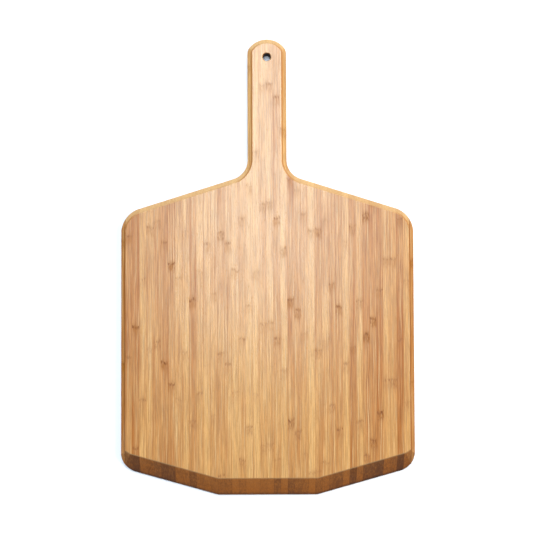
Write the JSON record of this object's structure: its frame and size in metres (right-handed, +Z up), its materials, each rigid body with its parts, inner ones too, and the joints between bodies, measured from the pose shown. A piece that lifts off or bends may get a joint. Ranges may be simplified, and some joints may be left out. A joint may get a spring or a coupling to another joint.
{
  "type": "pizza peel",
  "caption": "Flat laminated bamboo pizza peel with a rectangular board, bevelled loading edge, short straight handle and a hanging hole.",
  "frame": {"origin": "middle of the bounding box on the flat underside", "axes": "+Z up out of the working face, +Y along the peel towards the handle's end, +X to the right when looking down with the handle away"},
  "size_m": [0.3556, 0.5554, 0.012],
  "materials": {
    "bamboo": "satin, sanded and lightly oiled"
  },
  "bodies": {
    "root": {"strip_01": "bamboo", "strip_02": "bamboo", "strip_03": "bamboo", "strip_04": "bamboo", "strip_05": "bamboo", "strip_06": "bamboo", "strip_07": "bamboo", "strip_08": "bamboo", "strip_09": "bamboo", "strip_10": "bamboo", "strip_11": "bamboo", "strip_12": "bamboo", "strip_13": "bamboo", "strip_14": "bamboo", "strip_15": "bamboo", "strip_16": "bamboo", "strip_17": "bamboo", "strip_18": "bamboo", "strip_19": "bamboo", "strip_20": "bamboo", "strip_21": "bamboo", "strip_22": "bamboo", "strip_23": "bamboo", "strip_24": "bamboo", "strip_25": "bamboo", "strip_26": "bamboo", "strip_27": "bamboo", "strip_28": "bamboo", "strip_29": "bamboo", "strip_30": "bamboo", "strip_31": "bamboo", "strip_32": "bamboo", "strip_33": "bamboo", "strip_34": "bamboo", "strip_35": "bamboo", "strip_36": "bamboo", "strip_37": "bamboo", "strip_38": "bamboo", "strip_39": "bamboo", "strip_40": "bamboo", "strip_41": "bamboo", "strip_42": "bamboo", "strip_43": "bamboo"}
  },
  "joints": []
}
